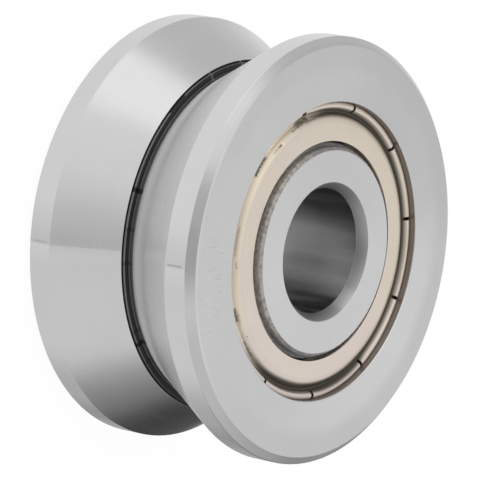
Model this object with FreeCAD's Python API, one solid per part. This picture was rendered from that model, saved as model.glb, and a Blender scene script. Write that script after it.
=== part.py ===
import FreeCAD
import Part
import math
import os

# V groove wheel: a double-row ball bearing whose outer ring is the wheel.
# The wheel turns about Z and stands on its lower end face. The origin is the wheel's centre.
# Sizes are millimetres and degrees. Upper means the end at +Z.

# Wheel
outer_d = 41.0
width = 20.0
bore_d = 12.0

# V groove in the rim, open at groove_angle between its flanks
groove_angle = 120.0
rim_land = 2.3
rim_chamfer_radial = 0.8
rim_chamfer_axial = 0.7
edge_round = 0.12

# Relief at the groove's root: a floor under the upper flank's end, then a shelf, then a step up
relief_drop = 0.17
relief_floor = 0.47
relief_shelf = 0.25
relief_step = 0.19

# Rows of balls
ball_d = 5.556
balls_per_row = 8
pitch_d = 23.7
race_clearance = 0.05
race_conformity = 0.52
inner_shoulder_drop = 1.45
outer_shoulder_rise = 1.85

# Inner ring's edges and the rim that stands a step inside its shoulder, under each shield's bore
bore_chamfer_radial = 0.68
bore_chamfer_axial = 0.95
ring_edge = 0.28
rim_step = 0.4
rim_step_clearance = 0.25

# Crimped sheet-metal shields
shield_t = 0.25
shield_depth = 0.52
shield_gap = 0.55
seat_step = 0.63
snap_groove = 0.35
seat_clearance = 0.02
curl_clearance = 0.04
channel_bend_r = 0.95
channel_wall = 0.12
channel_r = 0.28
channel_slope = 55.0
curl_wall = 0.43
curl_r = 0.22
curl_slope = 80.0
lip_bend_r = 0.2
slot_count = 11
slot_w = 0.32
slot_phase = 13.2

# Crown cages
pocket_clearance = 0.12
cage_shoulder_gap = 0.5
cage_back = 0.72
cage_ring = 2.2
horn_wall = 0.75
horn_reach = 1.3

# Radii and heights that follow from the sizes above
face_z = width / 2
outer_r = outer_d / 2
bore_r = bore_d / 2
ball_r = ball_d / 2
pitch_r = pitch_d / 2
inner_shoulder_r = pitch_r - inner_shoulder_drop
outer_shoulder_r = pitch_r + outer_shoulder_rise
inner_rim_r = inner_shoulder_r - rim_step
shield_seat_r = outer_shoulder_r + seat_step
shield_bore_r = inner_rim_r + shield_gap
pocket_r = ball_r + pocket_clearance
flank_slope = 1 / math.tan(math.radians(groove_angle / 2))
mouth_z = face_z - rim_chamfer_axial - rim_land
apex_r = outer_r - mouth_z * flank_slope
race_r = race_conformity * ball_d
ball_step = 360.0 / balls_per_row

ORIGIN = FreeCAD.Vector(0, 0, 0)
X_AXIS = FreeCAD.Vector(1, 0, 0)
Z_AXIS = FreeCAD.Vector(0, 0, 1)


def at(radius, height):
    """A point of a section, in the plane that holds the wheel's axis."""
    return FreeCAD.Vector(radius, 0, height)


def turned(edges):
    """The solid that a closed section sweeps round the wheel's axis."""
    return Part.Face(Part.Wire(edges)).revolve(ORIGIN, Z_AXIS, 360)


def joined(points):
    """Straight edges from each point to the next."""
    return [Part.makeLine(a, b) for a, b in zip(points, points[1:])]


def rounded(corners):
    """Straight edges through the corners, with an arc of edge_round at each one between the first and the last."""
    edges = []
    here = corners[0]
    for before, corner, after in zip(corners, corners[1:], corners[2:]):
        arriving = (corner - before).normalize()
        leaving = (after - corner).normalize()
        half_turn = arriving.getAngle(leaving) / 2
        tangent = edge_round * math.tan(half_turn)
        depth = edge_round / math.cos(half_turn) - edge_round
        start = corner - arriving * tangent
        end = corner + leaving * tangent
        middle = corner + (leaving - arriving).normalize() * depth
        edges.append(Part.makeLine(here, start))
        edges.append(Part.Arc(start, middle, end).toShape())
        here = end
    edges.append(Part.makeLine(here, corners[-1]))
    return edges


def tube(inner, outer, low, high):
    """A plain ring between two radii and two heights."""
    corners = [at(inner, low), at(outer, low), at(outer, high), at(inner, high), at(inner, low)]
    return turned(joined(corners))


def flipped(shape):
    """The same piece at the lower end, turned over about X."""
    copy = shape.copy()
    copy.rotate(ORIGIN, X_AXIS, 180)
    return copy


def spun(shape, degrees):
    """The same piece, turned about the wheel's axis."""
    copy = shape.copy()
    copy.rotate(ORIGIN, Z_AXIS, degrees)
    return copy


def race_arc(side, height, shoulder_r, upwards):
    """One raceway's arc, from shoulder to shoulder. Side is 1 on the outer ring and -1 on the inner."""
    bottom_r = pitch_r + side * (ball_r + race_clearance)
    centre_r = bottom_r - side * race_r
    half_width = math.sqrt(race_r**2 - (shoulder_r - centre_r) ** 2)
    ends = [at(shoulder_r, height - half_width), at(shoulder_r, height + half_width)]
    start, end = ends if upwards else reversed(ends)
    return Part.Arc(start, at(bottom_r, height), end).toShape()


def end_of(edge):
    """Where an edge ends, in the direction it was drawn."""
    return edge.valueAt(edge.LastParameter)


def start_of(edge):
    """Where an edge starts, in the direction it was drawn."""
    return edge.valueAt(edge.FirstParameter)


def channel_moves(flat):
    """The shield's section as runs and bends, from its bore to its channel. A positive bend turns upwards."""
    return [
        ("run", flat, 0),
        ("bend", channel_bend_r, -channel_slope),
        ("run", channel_wall, 0),
        ("bend", channel_r, 2 * channel_slope),
    ]


def curl_moves():
    """The section from the channel up and over the curl."""
    return [
        ("run", curl_wall, 0),
        ("bend", curl_r, -channel_slope - curl_slope),
    ]


def lip_moves(lip):
    """The section from the curl out into the snap groove."""
    return [
        ("bend", lip_bend_r, curl_slope),
        ("run", lip, 0),
    ]


def left_of(heading):
    """The direction square to a heading, on its upper side when it points outwards."""
    return at(-math.sin(heading), math.cos(heading))


def strip_stations(moves):
    """Where a bent strip's middle line is, and which way it heads, before each move and after the last."""
    here = ORIGIN
    heading = 0.0
    stations = [(here, heading)]
    for kind, size, bend in moves:
        if kind == "run":
            here = here + at(size * math.cos(heading), size * math.sin(heading))
        else:
            side = math.copysign(size, bend)
            centre = here + left_of(heading) * side
            heading += math.radians(bend)
            here = centre - left_of(heading) * side
        stations.append((here, heading))
    return stations


def strip_side(start, moves, offset):
    """The edges of one face of a bent strip, offset above its middle line."""
    stations = strip_stations(moves)
    edges = []
    for (kind, size, bend), (here, heading), (there, _) in zip(moves, stations, stations[1:]):
        shift = start + left_of(heading) * offset
        if kind == "run":
            edges.append(Part.makeLine(here + shift, there + shift))
        else:
            side = math.copysign(size, bend)
            centre = start + here + left_of(heading) * side
            angles = [heading + math.radians(bend) * share for share in (0, 0.5, 1)]
            stops = [centre - left_of(angle) * (side - offset) for angle in angles]
            edges.append(Part.Arc(*stops).toShape())
    return edges


def strip_reach(moves):
    """How far a bent strip's middle line goes outwards and upwards."""
    return strip_stations(moves)[-1][0]


# The shield's flat and lip are as long as it takes to put its curl just inside the seat
# and its lip in the snap groove
curl_end_r = shield_seat_r - curl_clearance - shield_t / 2 * math.sin(math.radians(curl_slope))
groove_bottom_r = shield_seat_r + snap_groove
lip_end_r = groove_bottom_r - seat_clearance
bent_part = strip_reach(channel_moves(0) + curl_moves())
lip_bend = strip_reach(channel_moves(0) + curl_moves() + lip_moves(0))
shield_flat = curl_end_r - shield_bore_r - bent_part.x
shield_lip = lip_end_r - shield_bore_r - shield_flat - lip_bend.x
shield_z = face_z - shield_depth - shield_t / 2
lip_z = shield_z + lip_bend.z
seat_floor_z = lip_z - shield_t / 2 - seat_clearance
snap_top_z = lip_z + shield_t / 2 + seat_clearance
rim_step_z = shield_z - shield_t / 2 - rim_step_clearance

# Each row sits, with its cage, midway between the wheel's middle and the shield's seat
row_z = (seat_floor_z - pocket_clearance - cage_back) / 2
cage_back_z = row_z + pocket_r + cage_back


def rim_corners():
    """The upper rim from the shield's seat, over the face and the land, to where its flank meets the relief."""
    return [
        at(shield_seat_r, snap_top_z),
        at(shield_seat_r, face_z),
        at(outer_r - rim_chamfer_radial, face_z),
        at(outer_r, face_z - rim_chamfer_axial),
        at(outer_r, mouth_z),
        at(apex_r - relief_drop, -relief_drop / flank_slope),
    ]


def relief_corners():
    """The relief at the V's root, from the upper flank's end down to where the lower flank starts."""
    floor_r = apex_r - relief_drop
    shelf_z = -relief_drop / flank_slope - relief_floor
    step_z = shelf_z - relief_shelf
    flank_r = apex_r - step_z * flank_slope
    shelf_r = flank_r - relief_step
    return [
        at(floor_r, shelf_z),
        at(shelf_r, shelf_z),
        at(shelf_r, step_z),
        at(flank_r, step_z),
    ]


def outer_ring():
    """The wheel itself: V groove outside, two raceways and two stepped shield seats inside."""
    lower_race = race_arc(1, -row_z, outer_shoulder_r, True)
    upper_race = race_arc(1, row_z, outer_shoulder_r, True)
    upper_rim = rim_corners()
    relief = relief_corners()
    lower_rim = [relief[-1]] + [at(point.x, -point.z) for point in reversed(upper_rim[:-1])]
    lower_seat = [
        at(shield_seat_r, -snap_top_z),
        at(groove_bottom_r, -snap_top_z),
        at(groove_bottom_r, -seat_floor_z),
        at(outer_shoulder_r, -seat_floor_z),
    ]
    upper_seat = [at(point.x, -point.z) for point in reversed(lower_seat)]
    edges = rounded(upper_rim)
    edges += joined([upper_rim[-1]] + relief)
    edges += rounded(lower_rim)
    edges += joined(lower_seat + [start_of(lower_race)])
    edges.append(lower_race)
    edges += joined([end_of(lower_race), start_of(upper_race)])
    edges.append(upper_race)
    edges += joined([end_of(upper_race)] + upper_seat)
    return turned(edges)


def inner_ring():
    """The ring that stays on the axle: plain bore with chamfered mouths, two raceways and stepped rims outside."""
    upper_race = race_arc(-1, row_z, inner_shoulder_r, False)
    lower_race = race_arc(-1, -row_z, inner_shoulder_r, False)
    upper_end = [
        at(bore_r, face_z - bore_chamfer_axial),
        at(bore_r + bore_chamfer_radial, face_z),
        at(inner_rim_r - ring_edge, face_z),
        at(inner_rim_r, face_z - ring_edge),
        at(inner_rim_r, rim_step_z),
        at(inner_shoulder_r, rim_step_z),
        start_of(upper_race),
    ]
    lower_end = [at(point.x, -point.z) for point in reversed(upper_end)]
    edges = rounded(upper_end)
    edges.append(upper_race)
    edges += joined([end_of(upper_race), start_of(lower_race)])
    edges.append(lower_race)
    edges += rounded(lower_end)
    edges += joined([lower_end[-1], upper_end[0]])
    return turned(edges)


def shield():
    """The upper shield: one thickness of sheet with a pressed channel and a slotted curl whose lip is crimped."""
    start = at(shield_bore_r, shield_z)
    moves = channel_moves(shield_flat) + curl_moves() + lip_moves(shield_lip)
    upper = strip_side(start, moves, shield_t / 2)
    lower = strip_side(start, moves, -shield_t / 2)
    outer_edge = Part.makeLine(end_of(upper[-1]), end_of(lower[-1]))
    inner_edge = Part.makeLine(start_of(lower[0]), start_of(upper[0]))
    section = upper + [outer_edge] + lower[::-1] + [inner_edge]
    sheet = turned(section)
    channel_end = strip_reach(channel_moves(shield_flat))
    slot_start_r = shield_bore_r + channel_end.x
    slot_length = groove_bottom_r - slot_start_r
    slot_height = face_z - cage_back_z
    corner = FreeCAD.Vector(slot_start_r, -slot_w / 2, cage_back_z)
    slot = Part.makeBox(slot_length, slot_w, slot_height, corner)
    slots = [spun(slot, slot_phase + 360.0 / slot_count * n) for n in range(slot_count)]
    return sheet.cut(slots)


def ball_centre(n):
    """Where the upper row's ball n lies."""
    angle = math.radians(ball_step * n)
    return FreeCAD.Vector(pitch_r * math.cos(angle), pitch_r * math.sin(angle), row_z)


def cage():
    """The upper cage: a ring behind the balls, with a pair of curved horns that snap over each ball."""
    inner_r = inner_shoulder_r + cage_shoulder_gap
    outer_cage_r = outer_shoulder_r - cage_shoulder_gap
    band = tube(inner_r, outer_cage_r, row_z - horn_reach, cage_back_z)
    ring = tube(inner_r, outer_cage_r, cage_back_z - cage_ring, cage_back_z)
    centres = [ball_centre(n) for n in range(balls_per_row)]
    horns = [band.common(Part.makeSphere(pocket_r + horn_wall, c)) for c in centres]
    pockets = [Part.makeSphere(pocket_r, c) for c in centres]
    return ring.fuse(horns).cut(pockets)


def ball(n):
    """Ball n of the upper row."""
    return Part.makeSphere(ball_r, ball_centre(n))


def pieces():
    """Every piece under its name. The lower row stands half a ball step round from the upper one."""
    upper_cage = cage()
    lower_turn = ball_step / 2
    found = {
        "outer_ring": outer_ring(),
        "inner_ring": inner_ring(),
        "shield_upper": shield(),
        "shield_lower": flipped(shield()),
        "cage_upper": upper_cage,
        "cage_lower": spun(flipped(upper_cage), lower_turn),
    }
    for n in range(balls_per_row):
        found[f"ball_upper_{n + 1}"] = ball(n)
        found[f"ball_lower_{n + 1}"] = spun(flipped(ball(-n)), lower_turn)
    return found


os.makedirs("parts", exist_ok=True)
for name, shape in pieces().items():
    shape.exportStep(f"parts/{name}.step")
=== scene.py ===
import math
import bmesh
import bpy
from mathutils import Matrix, Vector, noise


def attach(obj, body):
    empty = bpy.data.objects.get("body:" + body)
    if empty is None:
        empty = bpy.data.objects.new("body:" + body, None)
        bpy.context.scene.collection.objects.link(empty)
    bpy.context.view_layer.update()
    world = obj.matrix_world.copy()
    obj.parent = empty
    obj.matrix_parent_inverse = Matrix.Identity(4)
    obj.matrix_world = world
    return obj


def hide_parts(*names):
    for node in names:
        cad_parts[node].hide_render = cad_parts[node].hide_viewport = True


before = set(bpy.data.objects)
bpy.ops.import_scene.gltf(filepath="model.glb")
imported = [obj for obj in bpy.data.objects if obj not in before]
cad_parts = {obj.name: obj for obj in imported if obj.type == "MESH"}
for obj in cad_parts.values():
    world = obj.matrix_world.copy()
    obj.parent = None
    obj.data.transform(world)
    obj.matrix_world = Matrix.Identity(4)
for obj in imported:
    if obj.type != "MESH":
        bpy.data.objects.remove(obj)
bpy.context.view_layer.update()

# The looks of a steel V groove wheel with crimped shields. Metres throughout, in the wheel's own frame.
# Angles are degrees round the wheel's axis, from +X towards +Y. A sector is its middle angle, the half angle
# within which it is whole, and the half angle beyond which it is gone. A number beside a sector is what the
# sector adds. Colours and levels are linear, and a lift or drop is added to a level.

MM = 0.001

# Wheel. An end face meets the rim's chamfer at FACE_EDGE_R, and a land meets its flank at MOUTH_Z.
WIDTH = 20.0 * MM
OUTER_R = 20.5 * MM
FACE_EDGE_R = 19.7 * MM
FACE_Z = WIDTH / 2
RIM_CHAMFER_Z = 9.3 * MM
MOUTH_Z = 7.0 * MM

# Relief at the V's root: from its upper end down a floor, a shelf and a step up to the lower flank
FLANK_SLOPE = math.tan(math.radians(30))
APEX_R = OUTER_R - MOUTH_Z * FLANK_SLOPE
FLOOR_R = APEX_R - 0.17 * MM
FLOOR_TOP_Z = (FLOOR_R - APEX_R) / FLANK_SLOPE
FLOOR_LOW_Z = FLOOR_TOP_Z - 0.47 * MM
SHELF_LOW_Z = FLOOR_LOW_Z - 0.25 * MM
STEP_R = APEX_R - SHELF_LOW_Z * FLANK_SLOPE
SHELF_R = STEP_R - 0.19 * MM

# Inner ring
BORE_R = 6.0 * MM
BORE_CHAMFER = 0.68 * MM
BORE_MOUTH_R = BORE_R + BORE_CHAMFER
RIM_R = 10.0 * MM
RING_EDGE = 0.28 * MM

# Shield and its seat. The flat ends at FLAT_R, then the sheet bends down into its channel and up over its
# curl, which the slots cut.
SEAT_GROOVE_R = 14.68 * MM
SEAT_LOW_Z = 8.80 * MM
FLAT_R = 12.21 * MM
CHANNEL_R = 13.29 * MM
CURL_R = 13.95 * MM
SLOTS = 11
SLOT_PHASE = 13.2
SLOT_HALF = 0.16 * MM

# Ground steel: its level and roughness, with what its clouds and lines add to them. Lines are given by their
# pitch and how much they wander. Noise scales are features to the metre.
STEEL_LEVEL = 0.588
STEEL_CLOUDS = 0.042
STEEL_CLOUD_SCALE = 260.0
STEEL_ROUGHNESS = 0.20
STEEL_ROUGHER = 0.06
FINE_LINES = (0.07 * MM, 9.0)
BROAD_LINES = (0.8 * MM, 3.0)
LINE_DEPTH = 0.004 * MM
LINE_STRENGTH = 0.2
ANISOTROPY = 0.7
QUARTER_TURN = 0.25

# How softly a tone ends at an edge of the wheel
EDGE_SOFT = 0.05 * MM

# Painted light: the upper flank and land are a little lighter, most of all the flank's foot by the relief,
# which is also dull
FOOT_WHOLE_Z = 0.3 * MM
FOOT_GONE_Z = 2.6 * MM
FOOT_LIFT = 0.042
FOOT_ROUGHER = 0.22
UPPER_FLANK_LIFT = 0.065
UPPER_SIDE_LIFT = 0.022

# Painted sheen and shade on the end faces in broad sectors, which come in over ON_FACE_Z. The inner part of a
# face is whole within one radius and gone beyond the other, and the outer part is the rest of it, which is
# darker outside FACE_EVEN.
ON_FACE_Z = (FACE_Z - 0.4 * MM, FACE_Z - 0.1 * MM)
INNER_PART_WHOLE_R = 16.5 * MM
INNER_PART_GONE_R = 18.5 * MM
FACE_SHEEN = (315, 5, 75)
FACE_SHEEN_LIFT = 0.004
FACE_SHEEN_INNER_LIFT = 0.055
FACE_SHADE = ((45, 8, 50), -0.042)
FACE_EVEN = (190, 20, 50)
FACE_OUTER_DROP = -0.025

# Painted shade on stretches of the upper rim's chamfer, and where it comes in
CHAMFER_IN_R = (FACE_EDGE_R, FACE_EDGE_R + 0.10 * MM)
CHAMFER_IN_Z = (RIM_CHAMFER_Z - 0.05 * MM, RIM_CHAMFER_Z + 0.02 * MM)
CHAMFER_SHADE = (((217, 6, 24), -0.084), ((180, 3, 8), -0.067))

# A painted reflection step runs across the lower flank and both lands, darker before it and lighter past it.
# One direction points round the wheel there and one outwards, and its edge and reach are sines of angles from
# it.
REFLECTION_STEP_ANGLE = math.radians(184.9)
REFLECTION_STEP_ROUND = (-math.sin(REFLECTION_STEP_ANGLE), math.cos(REFLECTION_STEP_ANGLE), 0.0)
REFLECTION_STEP_OUT = (math.cos(REFLECTION_STEP_ANGLE), math.sin(REFLECTION_STEP_ANGLE), 0.0)
REFLECTION_STEP_EDGE = 0.004
REFLECTION_STEP_REACH = 0.11
REFLECTION_STEP_SECTOR = (185, 60, 80)
REFLECTION_STEP_DROP_BEFORE = -0.046
REFLECTION_STEP_LIFT_PAST = 0.05
UPPER_LAND_LOW_Z = MOUTH_Z + 0.1 * MM
REFLECTION_STEP_ON_UPPER_LAND = 0.6

# The marks of the lower flank and land end this softly, and one sector there is darker with painted shade
LOWER_SIDE_SOFT = 0.2 * MM
LOWER_PAINTED_SHADE = ((270, 13, 40), -0.227)

# A scratch crosses each land beside the painted reflection step
LAND_SCRATCH = (184.25, 0.12, 0.42)
LAND_SCRATCH_Z = (7.4 * MM, 8.8 * MM)
LAND_SCRATCH_SOFT = 0.3 * MM
LAND_SCRATCH_LOWER_DROP = -0.085
LAND_SCRATCH_UPPER_DROP = -0.16

# Fine scratches on the upper face run outwards at the painted reflection step's angle. They come in, dark or
# light, between levels of noise.
SCRATCH_LENGTH = 1.4 * MM
SCRATCH_PITCH = 0.17 * MM
SCRATCHED = (188, 9, 24)
SCRATCHED_R = (15.6 * MM, 18.6 * MM)
SCRATCHED_SOFT = 0.9 * MM
DARK_SCRATCHES = (0.56, 0.74)
DARK_SCRATCH_DROP = -0.075
LIGHT_SCRATCHES = (0.28, 0.44)
LIGHT_SCRATCH_LIFT = 0.03

# A painted highlight lies along the outer edge of the upper face beside them
EDGE_HIGHLIGHT = ((178, 25, 50), 0.045)
EDGE_HIGHLIGHT_R = (FACE_EDGE_R - 0.18 * MM, FACE_EDGE_R - 0.04 * MM)
EDGE_HIGHLIGHT_SOFT = 0.12 * MM

# The relief is black from the furnace, and grey where it is worn. Painted light and shade lie over its parts:
# it is darkest at its step, its wall and floor are lighter, its floor's foot and top lighter still, and its
# shelf has a highlight.
BLACK = (0.029, 0.029, 0.03)
WALL_BLACK = (0.071, 0.071, 0.073)
FLOOR_BLACK = (0.118, 0.118, 0.119)
FLOOR_FOOT_PAINTED_LIGHT = (0.302, 0.302, 0.304)
FLOOR_TOP_PAINTED_LIGHT = (0.202, 0.202, 0.203)
SHELF_PAINTED_HIGHLIGHT = (0.286, 0.286, 0.29)
BLACK_ROUGHNESS = 0.45

# Where each part of it lies: radii or heights, and how softly they end
RELIEF_SOFT = 0.02 * MM
RELIEF_EDGE_R = (STEP_R + 0.01 * MM, STEP_R + 0.05 * MM)
WALL_FROM_R = FLOOR_R + 0.03 * MM
WALL_TO_R = SHELF_R - 0.04 * MM
FLOOR_EDGE_R = (FLOOR_R + 0.01 * MM, FLOOR_R + 0.03 * MM)
FLOOR_FOOT_Z = FLOOR_LOW_Z + 0.10 * MM
FLOOR_FOOT_SOFT = 0.04 * MM
FLOOR_TOP_FROM_Z = FLOOR_TOP_Z - 0.16 * MM

# Marks on it. Nicks and ticks are their angles, then the half angles of a sector. A share is how much shows.
SHELF_DARK = (132, 3.5, 5)
SHELF_DARK_GREY = (0.067, 0.067, 0.069)
NICKS = ((165, 218), 0.4, 1.1)
NICK_SHARE = 0.8
FAINT_NICKS = ((178, 189, 213, 226), 0.3, 0.9)
FAINT_NICK_SHARE = 0.32
NICK_BLACK = (0.017, 0.017, 0.017)
WORN_TICKS = ((97.5, 113.5), 0.2, 0.8)
WORN_SHARE = 0.35
WORN_GREY = (0.504, 0.504, 0.504)

# Painted shade on the shields' seats, in the crevice beside the shields: a dark brown, lighter in one sector
SEAT_SHADE = (0.353, 0.315, 0.281)
SEAT_LIGHTER_SHADE = (0.504, 0.462, 0.412)
SEAT_LIGHTER_SECTOR = (168, 35, 55)
SEAT_SHADE_EDGE_R = (SEAT_GROOVE_R + 0.02 * MM, SEAT_GROOVE_R + 0.04 * MM)
SEAT_SHADE_TOP_Z = FACE_Z - 0.10 * MM
SEAT_SHADE_SOFT = 0.06 * MM
SEAT_ROUGHNESS = 0.45

# Painted sheen: the inner ring's faces are lighter outside one sector
RING_FACE_EVEN = (85, 25, 95)
RING_FACE_SHEEN = 0.038

# Painted shade: the share of the steel's level that the bore's mouth has, at its foot and its top, and that
# the bore has
MOUTH_SHARES = (0.36, 0.62)
MOUTH_EDGE_R = (BORE_MOUTH_R - 0.03 * MM, BORE_MOUTH_R + 0.02 * MM)
# A painted highlight on one sector of the mouth
MOUTH_HIGHLIGHT = ((313, 4, 15), 0.18)
MOUTH_ROUGHER = 0.15
BORE_SHARE = 0.69
BORE_EDGE_R = (BORE_R + 0.002 * MM, BORE_R + 0.006 * MM)
# Painted shade and light in sectors of the bore, which is painted lighter towards its top
BORE_SHADE_AND_LIGHT = (((50, 10, 38), -0.68), ((341, 2, 14), 0.26))
BORE_TOP_Z = (4.5 * MM, 8.0 * MM)
BORE_TOP_LIGHT_GAIN = 1.3
BORE_ROUGHNESS = 0.17

# How much less metallic the bore is in two sectors
BORE_MATTE = (((322, 3, 15), 0.45), ((68, 5, 24), 0.2))

# A film of grease round the inner ring's rim, specked brown, and specked grey where it is thick. Its colours
# turn from the first to the second between two levels of noise.
FILM_EDGE_R = (RIM_R - RING_EDGE - 0.02 * MM, RIM_R - RING_EDGE + 0.05 * MM)
FILM_SPECK_SCALE = 2600.0
BROWN_SPECKS = (0.38, 0.60)
FILM_BROWN = ((0.319, 0.29, 0.26), (0.504, 0.466, 0.433))
GREY_SPECKS = (0.35, 0.65)
FILM_GREY = ((0.202, 0.197, 0.189), (0.302, 0.294, 0.29))
FILM_THICK = ((88, 8, 35), (258, 12, 40))
FILM_ROUGHNESS = 0.5
FILM_LESS_METALLIC = -0.7

# Plating: clouds of yellow and pink, each from a lighter to a darker colour, and a painted highlight on the
# bend in one sector. Its roughness grows with the clouds and on the bend, and the curl is dull.
YELLOW = ((0.764, 0.682, 0.571), (0.672, 0.598, 0.512))
PINK = ((0.76, 0.672, 0.613), (0.685, 0.605, 0.554))
PLATING_CLOUD_SCALE = 400.0
CLOUD_SHARE = 0.5
PINK_SCALE = 220.0
PINK_FROM = (0.35, 0.85)
PINKER = ((250, 20, 120), 0.3)
BEND_HIGHLIGHT = (0.815, 0.727, 0.588)
BEND_HIGHLIGHT_SECTOR = (168, 30, 60)
BEND_HIGHLIGHT_R = (CHANNEL_R - 0.6 * MM, CHANNEL_R + 0.3 * MM)
BEND_HIGHLIGHT_SOFT = 0.2 * MM
PLATING_LINES = (0.15 * MM, 6.0)
PLATING_LINE_STRENGTH = 0.15
PLATING_ROUGHNESS = 0.17
PLATING_ROUGHER = 0.12
BEND_END_R = CHANNEL_R - 0.2 * MM
BEND_SOFT = 0.1 * MM
BEND_ROUGHER = 0.2
CURL_EDGE_R = (CURL_R - 0.25 * MM, CURL_R + 0.05 * MM)
CURL_ROUGHNESS = 0.42
DULL_LESS_METALLIC = 0.8

# Dirt and painted shade in the shields' channel and slots. It comes in between two radii, and out between two
# more.
# One sector is nearly clear of it, in one it starts further in, and in one it reaches less far out.
DIRT_AND_SHADE = (0.05, 0.042, 0.025)
DIRT_AND_SHADE_SHARE = 0.97
DIRT_ROUGHNESS = 0.5
DIRT_IN_R = (CHANNEL_R - 0.62 * MM, CHANNEL_R - 0.20 * MM)
DIRT_OUT_R = (CHANNEL_R + 0.15 * MM, CHANNEL_R + 0.52 * MM)
SLOT_DIRT_R = (CHANNEL_R, CHANNEL_R + 0.2 * MM)
SLOT_DIRT_SOFT = 0.05 * MM
CLEAN = ((168, 50, 75), -0.95)
FURTHER_IN = ((270, 10, 32), 0.20 * MM)
LESS_FAR_OUT = ((292, 8, 22), -0.15 * MM)

# Damage to the upper shield. Each dent has an angle and half angle, a radius and half width, how far it is
# pushed in, and how far its crumples rise and fall.
DENTS = (
    (111.0, 5.0, 13.45 * MM, 0.75 * MM, 0.10 * MM, 0.12 * MM),
    (110.8, 0.9, 13.95 * MM, 0.18 * MM, -0.16 * MM, 0.02 * MM),
    (102.0, 6.0, 13.05 * MM, 0.20 * MM, 0.02 * MM, 0.06 * MM),
    (129.5, 2.5, 12.77 * MM, 0.14 * MM, 0.07 * MM, 0.04 * MM),
    (143.0, 5.5, 13.08 * MM, 0.09 * MM, 0.09 * MM, 0.01 * MM),
    (208.5, 4.0, 13.08 * MM, 0.13 * MM, 0.10 * MM, 0.02 * MM),
    (186.0, 2.0, 12.82 * MM, 0.12 * MM, 0.05 * MM, 0.03 * MM),
)
CRUMPLE_SIZE = 0.22 * MM

# The mesh is cut every DENT_STEP degrees of a dent, through faces whose middles lie up to DENT_MARGIN degrees
# outside it. Points nearer than SAME_POINT are one, and edges that turn by more than SHARP_ANGLE stay sharp.
DENT_STEP = 0.35
DENT_MARGIN = 3.0
SAME_POINT = 0.0001 * MM
SHARP_ANGLE = 32

# Dark marks there, dirt and painted shade in and beside the dents: an angle and half angle, a radius and half
# width, and a strength. Their edges wander.
STAINS_AND_SHADE = (
    (143.0, 5.5, 13.09 * MM, 0.06 * MM, 0.80),
    (131.5, 3.5, 12.79 * MM, 0.02 * MM, 0.50),
    (129.3, 1.2, 12.76 * MM, 0.05 * MM, 0.75),
    (111.5, 4.6, 13.38 * MM, 0.40 * MM, 0.65),
    (110.8, 0.9, 13.95 * MM, 0.15 * MM, 0.75),
    (116.0, 4.5, 12.93 * MM, 0.03 * MM, 0.65),
    (107.0, 3.0, 12.92 * MM, 0.03 * MM, 0.55),
    (99.5, 5.0, 13.02 * MM, 0.05 * MM, 0.55),
    (207.5, 3.5, 13.08 * MM, 0.06 * MM, 0.75),
    (186.0, 1.6, 12.82 * MM, 0.03 * MM, 0.55),
    (176.0, 7.0, 12.97 * MM, 0.05 * MM, 0.30),
    (219.0, 0.35, 12.78 * MM, 0.03 * MM, 0.60),
    (225.0, 5.0, 13.10 * MM, 0.03 * MM, 0.60),
)
STAIN_WHOLE = 0.75
STAIN_WANDER = 0.25 * MM
STAIN_WANDER_SCALE = 3500.0
STAIN_SOFT = 0.04 * MM
MUCK_AND_SHADE = ((0.042, 0.038, 0.029), (0.134, 0.139, 0.105))
MUCK_SCALE = 4000.0
MUCK_SPECKS = (0.35, 0.65)

# Balls, under a thin smear of grease
BALL_LEVEL = 0.62
BALL_ROUGHNESS = 0.05
SMEAR_SCALE = 500.0
SMEAR_LIFT = 0.067
SMEAR_ROUGHER = 0.12

# Nylon cages
NYLON = ((0.84, 0.80, 0.68), (0.78, 0.73, 0.60))
NYLON_ROUGHNESS = 0.38
GRAIN_SCALE = 2500.0
GRAIN_ROUGHER = 0.15
GRAIN_DEPTH = 0.01 * MM
GRAIN_STRENGTH = 0.3
NYLON_SUBSURFACE = 0.15
NYLON_SUBSURFACE_DEPTH = 0.5 * MM

# The studio is white, with cards that light the wheel and that the camera doesn't see. Each has a direction
# along the camera's axes, a level, and the angles from that direction within which it is whole and beyond
# which it is gone.
WHITE = (1.0, 1.0, 1.0)
CARDS = (
    ((0.76, 0.58, -0.29), 0.69, 16, 61),
    ((0.43, -0.04, 0.90), 0.524, 9, 16),
    ((0.24, -0.40, 0.88), 0.583, 32, 48),
    ((0.28, 0.86, 0.42), 1.31, 18, 23),
    ((-0.26, -0.92, -0.29), 0.881, 84.9, 85.5),
    ((-0.03, -0.91, -0.42), 0.31, 1, 42),
    ((0.10, -0.64, -0.76), 0.071, 3, 28),
    ((0.14, -0.36, -0.92), 0.095, 4, 16),
    ((0.87, 0.22, 0.43), 1.17, 8, 24),
)

# The floor is FLOOR_GAP below the wheel's end face, so that the two are never in one plane
FLOOR_GAP = 0.01 * MM
FLOOR_HALF = 3.0
FLOOR_COLOUR = (0.67, 0.67, 0.67)
FLOOR_GLOW = 1.09
FLOOR_GLOW_SHARE = 0.85

# Camera, placed and turned as the photograph's. Its axes are right, up and backwards.
CAMERA_PLACE = Vector((-335.8, 36.1, 255.9)) * MM
CAMERA_BACK = Vector((-0.7920, 0.0859, 0.6044)).normalized()
CAMERA_RIGHT = Vector((0.6105, 0.1115, 0.7841))
CAMERA_RIGHT = (CAMERA_RIGHT - CAMERA_BACK * CAMERA_RIGHT.dot(CAMERA_BACK)).normalized()
CAMERA_UP = CAMERA_BACK.cross(CAMERA_RIGHT)
CAMERA_LENS = 330.9
CAMERA_SENSOR = 36.0
CAMERA_NEAR = 0.01
CAMERA_FAR = 20.0


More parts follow.
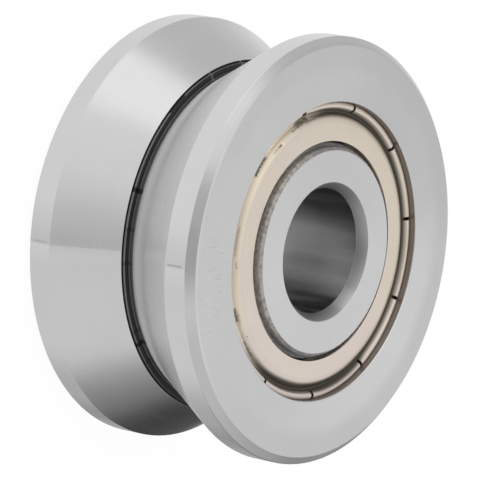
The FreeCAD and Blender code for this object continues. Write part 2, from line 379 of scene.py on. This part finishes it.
class Graph:
    """Makes and links shader nodes. A socket, number or colour may be given wherever a value is wanted."""

    def __init__(self, tree):
        self.tree = tree
        tree.nodes.clear()

    def node(self, kind, values=(), **settings):
        """A new node with its inputs, by name or number, and its settings."""
        made = self.tree.nodes.new(kind)
        for name, value in settings.items():
            setattr(made, name, value)
        for name, value in dict(values).items():
            self.put(made.inputs[name], value)
        return made

    def put(self, socket, value):
        """Links a socket to an input, or sets the input to a constant."""
        if isinstance(value, bpy.types.NodeSocket):
            self.tree.links.new(value, socket)
        elif isinstance(value, (tuple, Vector)) and len(value) == 3 and socket.type == "RGBA":
            socket.default_value = (*value, 1)
        else:
            socket.default_value = value

    def math(self, operation, *values):
        """The result of a Math node."""
        return self.node("ShaderNodeMath", enumerate(values), operation=operation).outputs[0]

    def vector(self, operation, *values):
        """The result of a Vector Math node."""
        made = self.node("ShaderNodeVectorMath", enumerate(values), operation=operation)
        return made.outputs["Value" if operation in ("DOT_PRODUCT", "LENGTH") else "Vector"]

    def joined(self, x, y, z=0.0):
        """A vector made of its three numbers."""
        return self.node("ShaderNodeCombineXYZ", {0: x, 1: y, 2: z}).outputs[0]

    def product(self, first, *others):
        """Numbers multiplied together."""
        for value in others:
            first = self.math("MULTIPLY", first, value)
        return first

    def total(self, first, *parts):
        """A number with parts added to it, each a share and the amount that the whole of it adds."""
        for share, amount in parts:
            first = self.math("MULTIPLY_ADD", share, amount, first)
        return first

    def inverse(self, share):
        """1 less a share."""
        return self.math("SUBTRACT", 1.0, share)

    def ramp(self, value, low, high, to_low=0.0, to_high=1.0, smooth=True):
        """The value's place from low to high, as a number from to_low to to_high."""
        made = self.node("ShaderNodeMapRange", {"Value": value, "From Min": low, "From Max": high,
                                                "To Min": to_low, "To Max": to_high})
        made.interpolation_type = "SMOOTHSTEP" if smooth else "LINEAR"
        return made.outputs["Result"]

    def band(self, value, low, high, soft):
        """1 between low and high, falling to 0 over the soft distance outside them."""
        rise = self.ramp(value, low - soft, low)
        return self.product(rise, self.ramp(value, high, high + soft, 1.0, 0.0))

    def blend(self, share, first, second):
        """Numbers: first where share is 0, second where it is 1."""
        return self.node("ShaderNodeMix", {0: share, 2: first, 3: second}, data_type="FLOAT").outputs[0]

    def colour(self, share, first, second):
        """Colours: first where share is 0, second where it is 1."""
        return self.node("ShaderNodeMix", {0: share, 6: first, 7: second}, data_type="RGBA").outputs[2]

    def layered(self, colour, *layers):
        """A colour with others laid over it in turn, each given after its share."""
        for share, layer in layers:
            colour = self.colour(share, colour, layer)
        return colour

    def grey(self, level, blue=1.01):
        """A neutral colour of a given level, with its blue raised by a hundredth unless told otherwise."""
        channels = {0: level, 1: level, 2: self.math("MULTIPLY", level, blue)}
        return self.node("ShaderNodeCombineColor", channels).outputs[0]

    def noise(self, place, scale, detail, w=None):
        """Smooth noise in three dimensions, or in four where w is given."""
        values = {"Vector": place, "Scale": scale, "Detail": detail}
        made = self.node("ShaderNodeTexNoise", noise_dimensions="3D" if w is None else "4D")
        if w is not None:
            values["W"] = w
        for name, value in values.items():
            self.put(made.inputs[name], value)
        return made.outputs[0]

    def bump(self, height, depth, strength):
        """A normal bumped by a height."""
        values = {"Strength": strength, "Distance": depth, "Height": height}
        return self.node("ShaderNodeBump", values).outputs[0]

    def finish(self, values):
        """Ends a material in a Principled shader with these values."""
        shader = self.node("ShaderNodeBsdfPrincipled", values)
        self.node("ShaderNodeOutputMaterial", {"Surface": shader.outputs[0]})


class Turned(Graph):
    """A graph that also knows where a point lies on the turned piece: its radius, height and direction."""

    def __init__(self, tree):
        super().__init__(tree)
        self.place = self.node("ShaderNodeTexCoord").outputs["Object"]
        split = self.node("ShaderNodeSeparateXYZ", {0: self.place})
        flat = self.joined(split.outputs["X"], split.outputs["Y"])
        self.height = split.outputs["Z"]
        self.from_middle = self.math("ABSOLUTE", self.height)
        self.radius = self.vector("LENGTH", flat)
        self.outwards = self.vector("NORMALIZE", flat)

    def tool_marks(self, pitch, wander):
        """Fine lines round the axis, a pitch apart, that wander slowly as they go round."""
        turned = self.vector("MULTIPLY", self.outwards, (wander, wander, wander))
        split = self.node("ShaderNodeSeparateXYZ", {0: turned})
        ring = self.math("MULTIPLY", self.radius, 1 / pitch)
        place = self.joined(split.outputs["X"], split.outputs["Y"], ring)
        return self.noise(place, 1.0, 2.0, self.math("MULTIPLY", self.height, 1 / pitch))

    def near_angle(self, degrees, inner, outer):
        """1 within inner degrees of an angle round the axis, 0 beyond outer degrees."""
        towards = (math.cos(math.radians(degrees)), math.sin(math.radians(degrees)), 0)
        share = self.vector("DOT_PRODUCT", self.outwards, towards)
        return self.ramp(share, math.cos(math.radians(outer)), math.cos(math.radians(inner)))

    def sectors(self, first, *parts):
        """A number with what each sector adds to it."""
        return self.total(first, *((self.near_angle(*sector), amount) for sector, amount in parts))

    def ticks(self, angles, inner, outer):
        """1 on narrow marks at several angles, each as near_angle gives it."""
        found = 0.0
        for degrees in angles:
            found = self.math("MAXIMUM", found, self.near_angle(degrees, inner, outer))
        return found

    def on_face(self, height):
        """1 on the upper end face for the height, and on both for the distance from the middle."""
        return self.ramp(height, *ON_FACE_Z)

    def spokes(self, count, phase, half_width, soft):
        """1 on evenly spaced radial lines, half a width to each side, falling to 0 over the soft distance."""
        split = self.node("ShaderNodeSeparateXYZ", {0: self.outwards})
        angle = self.math("ARCTAN2", split.outputs["Y"], split.outputs["X"])
        turns = self.math("MULTIPLY_ADD", angle, count / math.tau, 0.5 - phase / 360 * count)
        beside = self.math("ABSOLUTE", self.math("SUBTRACT", self.math("FRACT", turns), 0.5))
        across = self.product(beside, self.math("MULTIPLY", self.radius, math.tau / count))
        return self.ramp(across, half_width, half_width + soft, 1.0, 0.0)


def new_material(name):
    """An empty material that is made of nodes."""
    made = bpy.data.materials.new(name)
    made.use_nodes = True
    return made


def ground(g):
    """The level, roughness and lines of ground steel: fine broken lines round the axis and faint clouds."""
    lines = g.tool_marks(*FINE_LINES)
    broad = g.tool_marks(*BROAD_LINES)
    clouds = g.noise(g.place, STEEL_CLOUD_SCALE, 3.0)
    level = g.total(STEEL_LEVEL, (g.total(clouds, (lines, 0.5)), STEEL_CLOUDS))
    roughness = g.total(STEEL_ROUGHNESS, (g.math("ADD", broad, lines), STEEL_ROUGHER))
    return level, roughness, lines


def steel(g, colour, metallic, roughness, lines):
    """A steel surface whose highlight is drawn out across its lines."""
    tangent = g.node("ShaderNodeTangent", direction_type="RADIAL", axis="Z").outputs[0]
    g.finish({"Base Color": colour, "Metallic": metallic, "Roughness": roughness, "Anisotropic": ANISOTROPY,
              "Anisotropic Rotation": QUARTER_TURN, "Tangent": tangent,
              "Normal": g.bump(lines, LINE_DEPTH, LINE_STRENGTH)})


def upper_side_painted_light(g, foot):
    """How much painted light lifts the level over the upper flank and land."""
    flank = g.band(g.height, FLOOR_TOP_Z, MOUTH_Z, EDGE_SOFT)
    whole = g.band(g.height, FLOOR_TOP_Z, RIM_CHAMFER_Z, EDGE_SOFT)
    return g.total(0.0, (foot, FOOT_LIFT), (flank, UPPER_FLANK_LIFT), (whole, UPPER_SIDE_LIFT))


def face_painted_sheen(g):
    """How much painted sheen and shade change the level in broad sectors of the end faces."""
    inner_part = g.ramp(g.radius, INNER_PART_WHOLE_R, INNER_PART_GONE_R, 1.0, 0.0)
    outer_part = g.product(g.inverse(inner_part), g.inverse(g.near_angle(*FACE_EVEN)))
    # Painted sheen and shade in sectors
    light = g.near_angle(*FACE_SHEEN)
    change = g.total(g.sectors(0.0, FACE_SHADE), (light, FACE_SHEEN_LIFT),
                     (g.product(light, inner_part), FACE_SHEEN_INNER_LIFT), (outer_part, FACE_OUTER_DROP))
    return g.product(change, g.on_face(g.from_middle))


def face_marks(g):
    """How much the level changes by fine scratches on the upper face, and by a painted highlight along its
    outer edge.
    """
    along = g.math("MULTIPLY", g.vector("DOT_PRODUCT", g.place, REFLECTION_STEP_OUT), 1 / SCRATCH_LENGTH)
    across = g.math("MULTIPLY", g.vector("DOT_PRODUCT", g.place, REFLECTION_STEP_ROUND), 1 / SCRATCH_PITCH)
    lines = g.noise(g.joined(along, across), 1.0, 2.0)
    depth = g.math("ADD", g.ramp(lines, *DARK_SCRATCHES, 0.0, DARK_SCRATCH_DROP),
                   g.ramp(lines, *LIGHT_SCRATCHES, LIGHT_SCRATCH_LIFT, 0.0))
    scratched = g.product(g.near_angle(*SCRATCHED), g.band(g.radius, *SCRATCHED_R, SCRATCHED_SOFT), depth)
    # A painted highlight along the face's outer edge
    worn = g.product(g.sectors(0.0, EDGE_HIGHLIGHT), g.band(g.radius, *EDGE_HIGHLIGHT_R, EDGE_HIGHLIGHT_SOFT))
    return g.product(g.math("ADD", scratched, worn), g.on_face(g.height))


def chamfer_painted_shade(g):
    """How much painted shade changes the level along the upper rim's chamfer."""
    on_chamfer = g.product(g.ramp(g.radius, *CHAMFER_IN_R), g.ramp(g.height, *CHAMFER_IN_Z))
    return g.product(on_chamfer, g.sectors(0.0, *CHAMFER_SHADE))


def painted_reflection_step(g, lower_side, upper_land):
    """How much the level changes about the painted reflection step: darker before it and lighter past it."""
    side = g.vector("DOT_PRODUCT", g.outwards, REFLECTION_STEP_ROUND)
    before = g.ramp(side, -REFLECTION_STEP_REACH, 0.0, 0.0, REFLECTION_STEP_DROP_BEFORE)
    past = g.ramp(side, 0.0, REFLECTION_STEP_REACH, REFLECTION_STEP_LIFT_PAST, 0.0)
    change = g.blend(g.ramp(side, -REFLECTION_STEP_EDGE, REFLECTION_STEP_EDGE), before, past)
    share = g.math("MAXIMUM", lower_side, g.math("MULTIPLY", upper_land, REFLECTION_STEP_ON_UPPER_LAND))
    return g.product(share, g.near_angle(*REFLECTION_STEP_SECTOR), change)


def land_scratches(g, upper_land):
    """How much the level changes along the scratch across each land."""
    lands = g.band(g.from_middle, *LAND_SCRATCH_Z, LAND_SCRATCH_SOFT)
    depth = g.blend(upper_land, LAND_SCRATCH_LOWER_DROP, LAND_SCRATCH_UPPER_DROP)
    return g.product(g.near_angle(*LAND_SCRATCH), lands, depth)


def side_marks_and_painted_light(g):
    """How the level changes on the lower flank and both lands, by a painted reflection step, painted shade
    and scratches.
    """
    lower_side = g.band(g.height, -RIM_CHAMFER_Z, SHELF_LOW_Z - LOWER_SIDE_SOFT, LOWER_SIDE_SOFT)
    upper_land = g.band(g.height, UPPER_LAND_LOW_Z, RIM_CHAMFER_Z, EDGE_SOFT)
    marks = g.math("ADD", painted_reflection_step(g, lower_side, upper_land), land_scratches(g, upper_land))
    # Painted shade in one sector of the lower side
    return g.total(marks, (lower_side, g.sectors(0.0, LOWER_PAINTED_SHADE)))


def relief(g):
    """The relief at the V's root: its share of a point, and its colour, with painted light and shade on its
    parts.
    """
    share = g.product(g.band(g.height, SHELF_LOW_Z - RELIEF_SOFT / 2, FLOOR_TOP_Z, RELIEF_SOFT),
                      g.ramp(g.radius, *RELIEF_EDGE_R, 1.0, 0.0))
    wall = g.band(g.radius, WALL_FROM_R, WALL_TO_R, RELIEF_SOFT)
    on_floor = g.ramp(g.radius, *FLOOR_EDGE_R, 1.0, 0.0)
    floor_foot = g.product(on_floor, g.band(g.height, FLOOR_LOW_Z, FLOOR_FOOT_Z, FLOOR_FOOT_SOFT))
    floor_top = g.product(on_floor, g.ramp(g.height, FLOOR_TOP_FROM_Z, FLOOR_TOP_Z))
    shelf = g.product(g.band(g.height, SHELF_LOW_Z + RELIEF_SOFT, FLOOR_LOW_Z - RELIEF_SOFT, RELIEF_SOFT),
                      g.band(g.radius, SHELF_R - RELIEF_SOFT, SHELF_R + RELIEF_SOFT, RELIEF_SOFT))
    nicks = g.math("MAXIMUM", g.math("MULTIPLY", g.ticks(*NICKS), NICK_SHARE),
                   g.math("MULTIPLY", g.ticks(*FAINT_NICKS), FAINT_NICK_SHARE))
    worn = g.math("MULTIPLY", g.ticks(*WORN_TICKS), WORN_SHARE)
    # Painted light and shade on the relief's parts
    colour = g.layered(BLACK, (wall, WALL_BLACK), (on_floor, FLOOR_BLACK), (floor_foot, FLOOR_FOOT_PAINTED_LIGHT),
                       (floor_top, FLOOR_TOP_PAINTED_LIGHT), (shelf, SHELF_PAINTED_HIGHLIGHT),
                       (g.product(shelf, g.near_angle(*SHELF_DARK)), SHELF_DARK_GREY),
                       (nicks, NICK_BLACK), (worn, WORN_GREY))
    return share, colour


def seat_painted_shade(g):
    """The painted shade on the shields' seats: its share of a point, and its colour."""
    share = g.product(g.ramp(g.radius, *SEAT_SHADE_EDGE_R, 1.0, 0.0),
                      g.band(g.from_middle, SEAT_LOW_Z, SEAT_SHADE_TOP_Z, SEAT_SHADE_SOFT))
    return share, g.colour(g.near_angle(*SEAT_LIGHTER_SECTOR), SEAT_SHADE, SEAT_LIGHTER_SHADE)


def wheel_steel():
    """The wheel: ground steel with painted light and shade, its relief left black and its shield seats in
    painted shade.
    """
    made = new_material("wheel_steel")
    g = Turned(made.node_tree)
    level, roughness, lines = ground(g)
    foot = g.product(g.ramp(g.height, FOOT_WHOLE_Z, FOOT_GONE_Z, 1.0, 0.0),
                     g.math("GREATER_THAN", g.height, FLOOR_TOP_Z))
    # Painted light, sheen and shade change the steel's level here, besides the real scratches
    for change in (upper_side_painted_light(g, foot), face_painted_sheen(g), chamfer_painted_shade(g), side_marks_and_painted_light(g), face_marks(g)):
        level = g.math("ADD", level, change)
    in_relief, relief_colour = relief(g)
    # Painted shade on the shields' seats
    in_seat, seat_shade_colour = seat_painted_shade(g)
    colour = g.layered(g.grey(level), (in_relief, relief_colour), (in_seat, seat_shade_colour))
    roughness = g.blend(in_relief, g.total(roughness, (foot, FOOT_ROUGHER)), BLACK_ROUGHNESS)
    roughness = g.blend(in_seat, roughness, SEAT_ROUGHNESS)
    steel(g, colour, 1.0, roughness, lines)
    return made


def bore_painted_shade(g, in_mouth, in_bore):
    """The share of the steel's level that painted shade and light leave in the bore and its mouth, and 1
    elsewhere.
    """
    mouth = g.product(g.ramp(g.radius, BORE_R, BORE_MOUTH_R, *MOUTH_SHARES, smooth=False),
                      g.sectors(1.0, MOUTH_HIGHLIGHT))
    towards_top = g.ramp(g.height, *BORE_TOP_Z, 1.0, BORE_TOP_LIGHT_GAIN)
    bore = g.product(g.sectors(1.0, *BORE_SHADE_AND_LIGHT), towards_top, BORE_SHARE)
    return g.blend(in_bore, g.blend(in_mouth, 1.0, mouth), bore)


def grease_film(g):
    """The film of grease round the inner ring's rim: its share of a point, and its colour."""
    specks = g.noise(g.place, FILM_SPECK_SCALE, 3.0)
    brown = g.colour(g.ramp(specks, *BROWN_SPECKS), *FILM_BROWN)
    grey = g.colour(g.ramp(specks, *GREY_SPECKS), *FILM_GREY)
    thick = g.math("MAXIMUM", *(g.near_angle(*sector) for sector in FILM_THICK))
    return g.ramp(g.radius, *FILM_EDGE_R), g.colour(thick, brown, grey)


def inner_steel():
    """The inner ring: dull and in painted shade in its bore and chamfers, with a brown film of grease round
    its rim.
    """
    made = new_material("inner_steel")
    g = Turned(made.node_tree)
    level, roughness, lines = ground(g)
    # Painted sheen on the faces outside one sector
    face = g.product(g.on_face(g.from_middle), g.inverse(g.near_angle(*RING_FACE_EVEN)))
    in_mouth = g.ramp(g.radius, *MOUTH_EDGE_R, 1.0, 0.0)
    in_bore = g.ramp(g.radius, *BORE_EDGE_R, 1.0, 0.0)
    level = g.product(g.total(level, (face, RING_FACE_SHEEN)), bore_painted_shade(g, in_mouth, in_bore))
    in_film, film = grease_film(g)
    roughness = g.blend(in_bore, g.total(roughness, (in_mouth, MOUTH_ROUGHER)), BORE_ROUGHNESS)
    roughness = g.blend(in_film, roughness, FILM_ROUGHNESS)
    matte = g.product(in_bore, g.sectors(0.0, *BORE_MATTE))
    metallic = g.math("SUBTRACT", g.total(1.0, (in_film, FILM_LESS_METALLIC)), matte)
    steel(g, g.colour(in_film, g.grey(level), film), metallic, roughness, lines)
    return made


def dent_stains_and_shade(g):
    """The share of a point of the upper shield that its dark, ragged marks of dirt and painted shade cover.
    """
    wandering = g.math("SUBTRACT", g.noise(g.place, STAIN_WANDER_SCALE, 3.0), 0.5)
    ragged = g.total(g.radius, (wandering, STAIN_WANDER))
    found = 0.0
    for angle, half_angle, radius, half_width, strength in STAINS_AND_SHADE:
        mark = g.product(g.near_angle(angle, STAIN_WHOLE * half_angle, half_angle),
                         g.band(ragged, radius - half_width, radius + half_width, STAIN_SOFT))
        found = g.math("MAXIMUM", found, g.math("MULTIPLY", mark, strength))
    return g.product(found, g.math("GREATER_THAN", g.height, 0.0))


def clean_plating(g, clouds):
    """The colour of the plating where it is clean, with a painted highlight on the bend in one sector."""
    share = g.math("MULTIPLY", clouds, CLOUD_SHARE)
    pinker = g.sectors(g.noise(g.place, PINK_SCALE, 2.0), PINKER)
    colour = g.colour(g.ramp(pinker, *PINK_FROM), g.colour(share, *YELLOW), g.colour(share, *PINK))
    # A painted highlight on the bend in one sector
    pale = g.product(g.band(g.radius, *BEND_HIGHLIGHT_R, BEND_HIGHLIGHT_SOFT), g.near_angle(*BEND_HIGHLIGHT_SECTOR))
    return g.colour(pale, colour, BEND_HIGHLIGHT)


def channel_dirt_and_shade(g):
    """The share of a point that the dirt and painted shade in the shields' channel and slots cover."""
    channel = g.product(g.ramp(g.sectors(g.radius, FURTHER_IN), *DIRT_IN_R),
                        g.ramp(g.sectors(g.radius, LESS_FAR_OUT), *DIRT_OUT_R, 1.0, 0.0),
                        g.sectors(1.0, CLEAN))
    slots = g.product(g.spokes(SLOTS, SLOT_PHASE, SLOT_HALF, SLOT_DIRT_SOFT),
                      g.ramp(g.radius, *SLOT_DIRT_R))
    return g.math("MULTIPLY", g.math("MAXIMUM", channel, slots), DIRT_AND_SHADE_SHARE)


def plated_sheet():
    """Pressed sheet with a pale yellow plating, with dirt and painted shade in its channel and in its slots.
    """
    made = new_material("plated_sheet")
    g = Turned(made.node_tree)
    lines = g.tool_marks(*PLATING_LINES)
    clouds = g.noise(g.place, PLATING_CLOUD_SCALE, 4.0)
    # Dirt and painted shade in the channel and slots
    dirt = channel_dirt_and_shade(g)
    # Dirt and painted shade at the dents
    stain_and_shade_share = dent_stains_and_shade(g)
    muck_and_shade_colour = g.colour(g.ramp(g.noise(g.place, MUCK_SCALE, 2.0), *MUCK_SPECKS), *MUCK_AND_SHADE)
    colour = g.layered(clean_plating(g, clouds), (dirt, DIRT_AND_SHADE), (stain_and_shade_share, muck_and_shade_colour))
    dirty = g.math("MAXIMUM", dirt, stain_and_shade_share)
    curl = g.ramp(g.radius, *CURL_EDGE_R)
    bend = g.band(g.radius, FLAT_R, BEND_END_R, BEND_SOFT)
    roughness = g.total(PLATING_ROUGHNESS, (clouds, PLATING_ROUGHER), (bend, BEND_ROUGHER))
    roughness = g.blend(dirty, g.blend(curl, roughness, CURL_ROUGHNESS), DIRT_ROUGHNESS)
    metallic = g.inverse(g.math("MULTIPLY", g.math("MAXIMUM", curl, dirty), DULL_LESS_METALLIC))
    g.finish({"Base Color": colour, "Metallic": metallic, "Roughness": roughness,
              "Normal": g.bump(lines, LINE_DEPTH, PLATING_LINE_STRENGTH)})
    return made


def polished_ball():
    """Polished bearing steel under a thin smear of grease."""
    made = new_material("polished_ball")
    g = Turned(made.node_tree)
    smear = g.noise(g.place, SMEAR_SCALE, 3.0)
    g.finish({"Base Color": g.grey(g.total(BALL_LEVEL, (smear, SMEAR_LIFT)), blue=1.0), "Metallic": 1.0,
              "Roughness": g.total(BALL_ROUGHNESS, (smear, SMEAR_ROUGHER))})
    return made


def moulded_nylon():
    """Natural nylon, slightly waxy, with a faint moulded grain."""
    made = new_material("moulded_nylon")
    g = Turned(made.node_tree)
    grain = g.noise(g.place, GRAIN_SCALE, 3.0)
    g.finish({"Base Color": g.colour(grain, *NYLON),
              "Roughness": g.total(NYLON_ROUGHNESS, (grain, GRAIN_ROUGHER)),
              "Subsurface Weight": NYLON_SUBSURFACE, "Subsurface Scale": NYLON_SUBSURFACE_DEPTH,
              "Normal": g.bump(grain, GRAIN_DEPTH, GRAIN_STRENGTH)})
    return made


def turn_of(place):
    """A point's angle round the axis, in degrees."""
    return math.degrees(math.atan2(place.y, place.x)) % 360


def cut_finely(mesh, low, high, inner):
    """Cuts the faces between two angles, beyond a radius, along closely spaced planes through the axis."""
    near = [face for face in mesh.faces
            if low - DENT_MARGIN < turn_of(face.calc_center_median()) < high + DENT_MARGIN
            and face.calc_center_median().xy.length > inner]
    verts = {vert for face in near for vert in face.verts}
    edges = {edge for face in near for edge in face.edges}
    parts = [*verts, *edges, *near]
    for n in range(round((high - low) / DENT_STEP) + 1):
        angle = math.radians(low + n * DENT_STEP)
        across = Vector((-math.sin(angle), math.cos(angle), 0))
        cut = bmesh.ops.bisect_plane(mesh, geom=parts, plane_co=(0, 0, 0), plane_no=across, dist=SAME_POINT)
        parts = cut["geom"]


def dented(place):
    """How far a point of the upper shield's outer face is moved along the axis by its dents."""
    moved = 0.0
    for angle, half_angle, radius, half_width, depth, crumple in DENTS:
        along = (turn_of(place) - angle) / half_angle
        across = (place.xy.length - radius) / half_width
        share = max(0.0, 1 - along**2) * max(0.0, 1 - across**2)
        moved += math.sqrt(share) * (crumple * noise.noise(place / CRUMPLE_SIZE) - depth)
    return moved


def dented_shield(material):
    """The upper shield with the dents and crumples that a tool left at its edge."""
    mesh = bmesh.new()
    mesh.from_mesh(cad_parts["shield_upper"].data)
    bmesh.ops.remove_doubles(mesh, verts=mesh.verts, dist=SAME_POINT)
    for angle, half_angle, radius, half_width, _, _ in DENTS:
        cut_finely(mesh, angle - half_angle, angle + half_angle, radius - half_width)
    mesh.normal_update()
    for vert in mesh.verts:
        if vert.normal.z > 0:
            vert.co.z += dented(vert.co)
    data = bpy.data.meshes.new("dented_shield")
    mesh.to_mesh(data)
    mesh.free()
    data.attributes.remove(data.attributes["custom_normal"])
    data.shade_smooth()
    data.set_sharp_from_angle(angle=math.radians(SHARP_ANGLE))
    data.materials.clear()
    data.materials.append(material)
    made = bpy.data.objects.new("dented_shield", data)
    bpy.context.scene.collection.objects.link(made)
    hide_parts("shield_upper")
    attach(made, "wheel")


def paint(node, material):
    """Gives a CAD node one material."""
    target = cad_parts[node]
    target.data.materials.clear()
    target.data.materials.append(material)


def sees_white(g):
    """1 for the camera's own rays and rays that pass through something, which are shown plain white."""
    path = g.node("ShaderNodeLightPath")
    return g.math("MAXIMUM", path.outputs["Is Camera Ray"], path.outputs["Is Transmission Ray"])


def studio():
    """A soft white studio with its cards."""
    world = bpy.data.worlds.new("studio")
    bpy.context.scene.world = world
    world.use_nodes = True
    g = Graph(world.node_tree)
    direction = g.node("ShaderNodeTexCoord").outputs["Generated"]
    level = 1.0
    for (right, up, back), strength, inner, outer in CARDS:
        towards = (CAMERA_RIGHT * right + CAMERA_UP * up + CAMERA_BACK * back).normalized()
        share = g.vector("DOT_PRODUCT", direction, towards)
        mask = g.ramp(share, math.cos(math.radians(outer)), math.cos(math.radians(inner)))
        level = g.blend(mask, level, strength)
    lit = g.node("ShaderNodeBackground", {"Color": WHITE, "Strength": level})
    plain = g.node("ShaderNodeBackground", {"Color": WHITE, "Strength": 1.0})
    shown = g.node("ShaderNodeMixShader", {0: sees_white(g), 1: lit.outputs[0], 2: plain.outputs[0]})
    g.node("ShaderNodeOutputWorld", {"Surface": shown.outputs[0]})


def white_floor():
    """The floor's material: white to the camera apart from a soft shadow, and clear from below."""
    made = new_material("white_floor")
    g = Graph(made.node_tree)
    matte = g.node("ShaderNodeBsdfDiffuse", {"Color": FLOOR_COLOUR})
    glow = g.node("ShaderNodeEmission", {"Color": WHITE, "Strength": FLOOR_GLOW})
    glowing = g.math("MULTIPLY", sees_white(g), FLOOR_GLOW_SHARE)
    above = g.node("ShaderNodeMixShader", {0: glowing, 1: matte.outputs[0], 2: glow.outputs[0]})
    from_below = g.node("ShaderNodeNewGeometry").outputs["Backfacing"]
    clear = g.node("ShaderNodeBsdfTransparent")
    shown = g.node("ShaderNodeMixShader", {0: from_below, 1: above.outputs[0], 2: clear.outputs[0]})
    g.node("ShaderNodeOutputMaterial", {"Surface": shown.outputs[0]})
    return made


def floor():
    """A plain white floor under the wheel, which the wheel's metal doesn't show."""
    mesh = bpy.data.meshes.new("floor")
    height = -FACE_Z - FLOOR_GAP
    corners = [(x * FLOOR_HALF, y * FLOOR_HALF, height) for x, y in ((-1, -1), (1, -1), (1, 1), (-1, 1))]
    mesh.from_pydata(corners, [], [(0, 1, 2, 3)])
    mesh.materials.append(white_floor())
    plane = bpy.data.objects.new("floor", mesh)
    bpy.context.scene.collection.objects.link(plane)
    plane.visible_glossy = False


def camera():
    """The photograph's camera."""
    data = bpy.data.cameras.new("camera")
    data.lens = CAMERA_LENS
    data.sensor_width = CAMERA_SENSOR
    data.sensor_fit = "HORIZONTAL"
    data.clip_start = CAMERA_NEAR
    data.clip_end = CAMERA_FAR
    made = bpy.data.objects.new("camera", data)
    bpy.context.scene.collection.objects.link(made)
    turn = Matrix((CAMERA_RIGHT, CAMERA_UP, CAMERA_BACK)).transposed().to_4x4()
    made.matrix_world = Matrix.Translation(CAMERA_PLACE) @ turn
    bpy.context.scene.camera = made


bpy.context.scene.view_settings.view_transform = "Standard"

# Each node takes its finish by the first word of its name
finishes = {
    "shield": plated_sheet(),
    "ball": polished_ball(),
    "cage": moulded_nylon(),
    "outer": wheel_steel(),
    "inner": inner_steel(),
}
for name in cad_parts:
    paint(name, finishes[name.split("_")[0]])
dented_shield(finishes["shield"])

studio()
floor()
camera()
